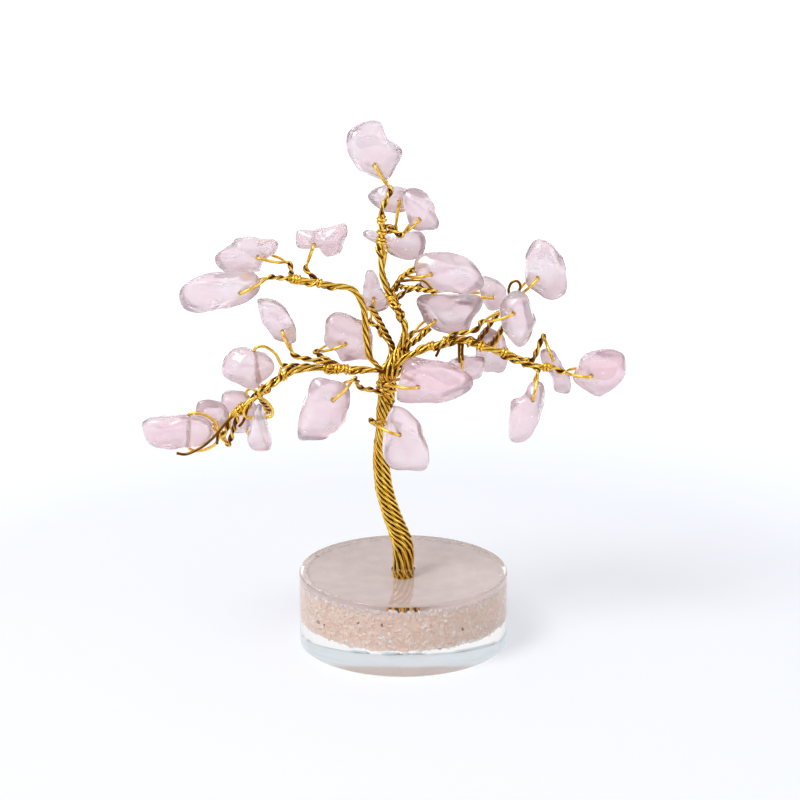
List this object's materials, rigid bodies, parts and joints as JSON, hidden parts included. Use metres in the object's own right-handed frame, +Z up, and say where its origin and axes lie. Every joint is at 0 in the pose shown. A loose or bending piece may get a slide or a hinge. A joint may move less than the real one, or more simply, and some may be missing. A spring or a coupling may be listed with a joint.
{
  "type": "gemstone tree ornament",
  "caption": "Small ornamental tree: drilled rose quartz chips on twisted gold wire branches, with a wire trunk cast into a round clear resin base over crushed quartz.",
  "frame": {"origin": "centre of the round base's underside", "axes": "+Z up along the trunk, tree seen from -Y, +X to the viewer's right"},
  "size_m": [0.0902, 0.04, 0.1001],
  "materials": {
    "gold_wire": "polished",
    "rose_quartz": "polished",
    "clear_resin": "polished",
    "crushed_quartz": "glossy"
  },
  "bodies": {
    "tree": {"clear_pour": "clear_resin", "quartz_bed": "crushed_quartz", "top_pour": "clear_resin", "trunk_core": "gold_wire", "back_limb": "gold_wire", "upper_left_limb": "gold_wire", "lower_left_limb": "gold_wire", "crown_limb": "gold_wire", "right_limb": "gold_wire", "wire_01": "gold_wire", "wire_02_03": "gold_wire", "wire_04": "gold_wire", "wire_05_07": "gold_wire", "wire_06": "gold_wire", "wire_08": "gold_wire", "wire_09": "gold_wire", "wire_10_11": "gold_wire", "wire_12": "gold_wire", "wire_13": "gold_wire", "wire_14": "gold_wire", "wire_15": "gold_wire", "wire_16": "gold_wire", "wire_17_18": "gold_wire", "wire_19": "gold_wire", "wire_20": "gold_wire", "wire_21": "gold_wire", "wire_22": "gold_wire", "wire_23": "gold_wire", "wire_24": "gold_wire", "wire_25_26": "gold_wire", "wire_27": "gold_wire", "wire_28": "gold_wire"},
    "quartz_01": {"quartz_01": "rose_quartz"},
    "quartz_02": {"quartz_02": "rose_quartz"},
    "quartz_03": {"quartz_03": "rose_quartz"},
    "quartz_04": {"quartz_04": "rose_quartz"},
    "quartz_05": {"quartz_05": "rose_quartz"},
    "quartz_06": {"quartz_06": "rose_quartz"},
    "quartz_07": {"quartz_07": "rose_quartz"},
    "quartz_08": {"quartz_08": "rose_quartz"},
    "quartz_09": {"quartz_09": "rose_quartz"},
    "quartz_10": {"quartz_10": "rose_quartz"},
    "quartz_11": {"quartz_11": "rose_quartz"},
    "quartz_12": {"quartz_12": "rose_quartz"},
    "quartz_13": {"quartz_13": "rose_quartz"},
    "quartz_14": {"quartz_14": "rose_quartz"},
    "quartz_15": {"quartz_15": "rose_quartz"},
    "quartz_16": {"quartz_16": "rose_quartz"},
    "quartz_17": {"quartz_17": "rose_quartz"},
    "quartz_18": {"quartz_18": "rose_quartz"},
    "quartz_19": {"quartz_19": "rose_quartz"},
    "quartz_20": {"quartz_20": "rose_quartz"},
    "quartz_21": {"quartz_21": "rose_quartz"},
    "quartz_22": {"quartz_22": "rose_quartz"},
    "quartz_23": {"quartz_23": "rose_quartz"},
    "quartz_24": {"quartz_24": "rose_quartz"},
    "quartz_25": {"quartz_25": "rose_quartz"},
    "quartz_26": {"quartz_26": "rose_quartz"},
    "quartz_27": {"quartz_27": "rose_quartz"},
    "quartz_28": {"quartz_28": "rose_quartz"}
  },
  "joints": [
    {"name": "quartz_01_wiggle", "type": "hinge", "parent": "tree", "child": "quartz_01", "pos_m": [-0.00518, 0, 0.09244], "axis": [0, -1, 0], "range_deg": [-15, 15]},
    {"name": "quartz_02_wiggle", "type": "hinge", "parent": "tree", "child": "quartz_02", "pos_m": [-0.00073, 0.006, 0.08477], "axis": [0, -1, 0], "range_deg": [-15, 15]},
    {"name": "quartz_03_wiggle", "type": "hinge", "parent": "tree", "child": "quartz_03", "pos_m": [0.00291, 0.00072, 0.08228], "axis": [0, -1, 0], "range_deg": [-15, 15]},
    {"name": "quartz_04_wiggle", "type": "hinge", "parent": "tree", "child": "quartz_04", "pos_m": [-0.00312, 0.00672, 0.07578], "axis": [0, -1, 0], "range_deg": [-15, 15]},
    {"name": "quartz_05_wiggle", "type": "hinge", "parent": "tree", "child": "quartz_05", "pos_m": [0.00504, -0.00144, 0.07264], "axis": [0, -1, 0], "range_deg": [-15, 15]},
    {"name": "quartz_06_wiggle", "type": "hinge", "parent": "tree", "child": "quartz_06", "pos_m": [0.00589, 0.0036, 0.06272], "axis": [0, -1, 0], "range_deg": [-15, 15]},
    {"name": "quartz_07_wiggle", "type": "hinge", "parent": "tree", "child": "quartz_07", "pos_m": [0.01684, 0.00744, 0.06624], "axis": [0, -1, 0], "range_deg": [-15, 15]},
    {"name": "quartz_08_wiggle", "type": "hinge", "parent": "tree", "child": "quartz_08", "pos_m": [0.02021, -0.00168, 0.06523], "axis": [0, -1, 0], "range_deg": [-15, 15]},
    {"name": "quartz_09_wiggle", "type": "hinge", "parent": "tree", "child": "quartz_09", "pos_m": [0.0249, 0.0036, 0.0708], "axis": [0, -1, 0], "range_deg": [-15, 15]},
    {"name": "quartz_10_wiggle", "type": "hinge", "parent": "tree", "child": "quartz_10", "pos_m": [0.01684, 0.00744, 0.05639], "axis": [0, -1, 0], "range_deg": [-15, 15]},
    {"name": "quartz_11_wiggle", "type": "hinge", "parent": "tree", "child": "quartz_11", "pos_m": [0.01102, 0.00144, 0.05356], "axis": [0, -1, 0], "range_deg": [-15, 15]},
    {"name": "quartz_12_wiggle", "type": "hinge", "parent": "tree", "child": "quartz_12", "pos_m": [0.00266, -0.00576, 0.0525], "axis": [0, -1, 0], "range_deg": [-15, 15]},
    {"name": "quartz_13_wiggle", "type": "hinge", "parent": "tree", "child": "quartz_13", "pos_m": [-0.00071, -0.00744, 0.04392], "axis": [0, -1, 0], "range_deg": [-15, 15]},
    {"name": "quartz_14_wiggle", "type": "hinge", "parent": "tree", "child": "quartz_14", "pos_m": [0.02792, 0.00168, 0.05552], "axis": [0, -1, 0], "range_deg": [-15, 15]},
    {"name": "quartz_15_wiggle", "type": "hinge", "parent": "tree", "child": "quartz_15", "pos_m": [0.03471, -0.003, 0.0538], "axis": [0, -1, 0], "range_deg": [-15, 15]},
    {"name": "quartz_16_wiggle", "type": "hinge", "parent": "tree", "child": "quartz_16", "pos_m": [0.02383, -0.00456, 0.04961], "axis": [0, -1, 0], "range_deg": [-15, 15]},
    {"name": "quartz_17_wiggle", "type": "hinge", "parent": "tree", "child": "quartz_17", "pos_m": [-0.02692, 0.0024, 0.07499], "axis": [0, -1, 0], "range_deg": [-15, 15]},
    {"name": "quartz_18_wiggle", "type": "hinge", "parent": "tree", "child": "quartz_18", "pos_m": [-0.01644, 0.00168, 0.07733], "axis": [0, -1, 0], "range_deg": [-15, 15]},
    {"name": "quartz_19_wiggle", "type": "hinge", "parent": "tree", "child": "quartz_19", "pos_m": [-0.02968, -0.00408, 0.06967], "axis": [0, -1, 0], "range_deg": [-15, 15]},
    {"name": "quartz_20_wiggle", "type": "hinge", "parent": "tree", "child": "quartz_20", "pos_m": [-0.02212, -0.00456, 0.0625], "axis": [0, -1, 0], "range_deg": [-15, 15]},
    {"name": "quartz_21_wiggle", "type": "hinge", "parent": "tree", "child": "quartz_21", "pos_m": [-0.02747, -0.0006, 0.05415], "axis": [-0.0698, 0, 0.9976], "range_deg": [-15, 15]},
    {"name": "quartz_22_wiggle", "type": "hinge", "parent": "tree", "child": "quartz_22", "pos_m": [-0.01084, 0.00432, 0.0581], "axis": [0, -1, 0], "range_deg": [-15, 15]},
    {"name": "quartz_23_wiggle", "type": "hinge", "parent": "tree", "child": "quartz_23", "pos_m": [-0.01288, -0.0072, 0.05048], "axis": [0, -1, 0], "range_deg": [-15, 15]},
    {"name": "quartz_24_wiggle", "type": "hinge", "parent": "tree", "child": "quartz_24", "pos_m": [-0.00563, 0.01032, 0.06526], "axis": [0, -1, 0], "range_deg": [-15, 15]},
    {"name": "quartz_25_wiggle", "type": "hinge", "parent": "tree", "child": "quartz_25", "pos_m": [-0.03565, -0.00096, 0.04372], "axis": [0, -1, 0], "range_deg": [-15, 15]},
    {"name": "quartz_26_wiggle", "type": "hinge", "parent": "tree", "child": "quartz_26", "pos_m": [-0.02976, 0.00408, 0.0442], "axis": [0, 0, 1], "range_deg": [-15, 15]},
    {"name": "quartz_27_wiggle", "type": "hinge", "parent": "tree", "child": "quartz_27", "pos_m": [-0.02671, -0.00744, 0.04645], "axis": [-0.9994, 0, -0.0349], "range_deg": [-15, 15]},
    {"name": "quartz_28_wiggle", "type": "hinge", "parent": "tree", "child": "quartz_28", "pos_m": [-0.03985, -0.00624, 0.0434], "axis": [0.0349, 0, 0.9994], "range_deg": [-15, 15]}
  ]
}
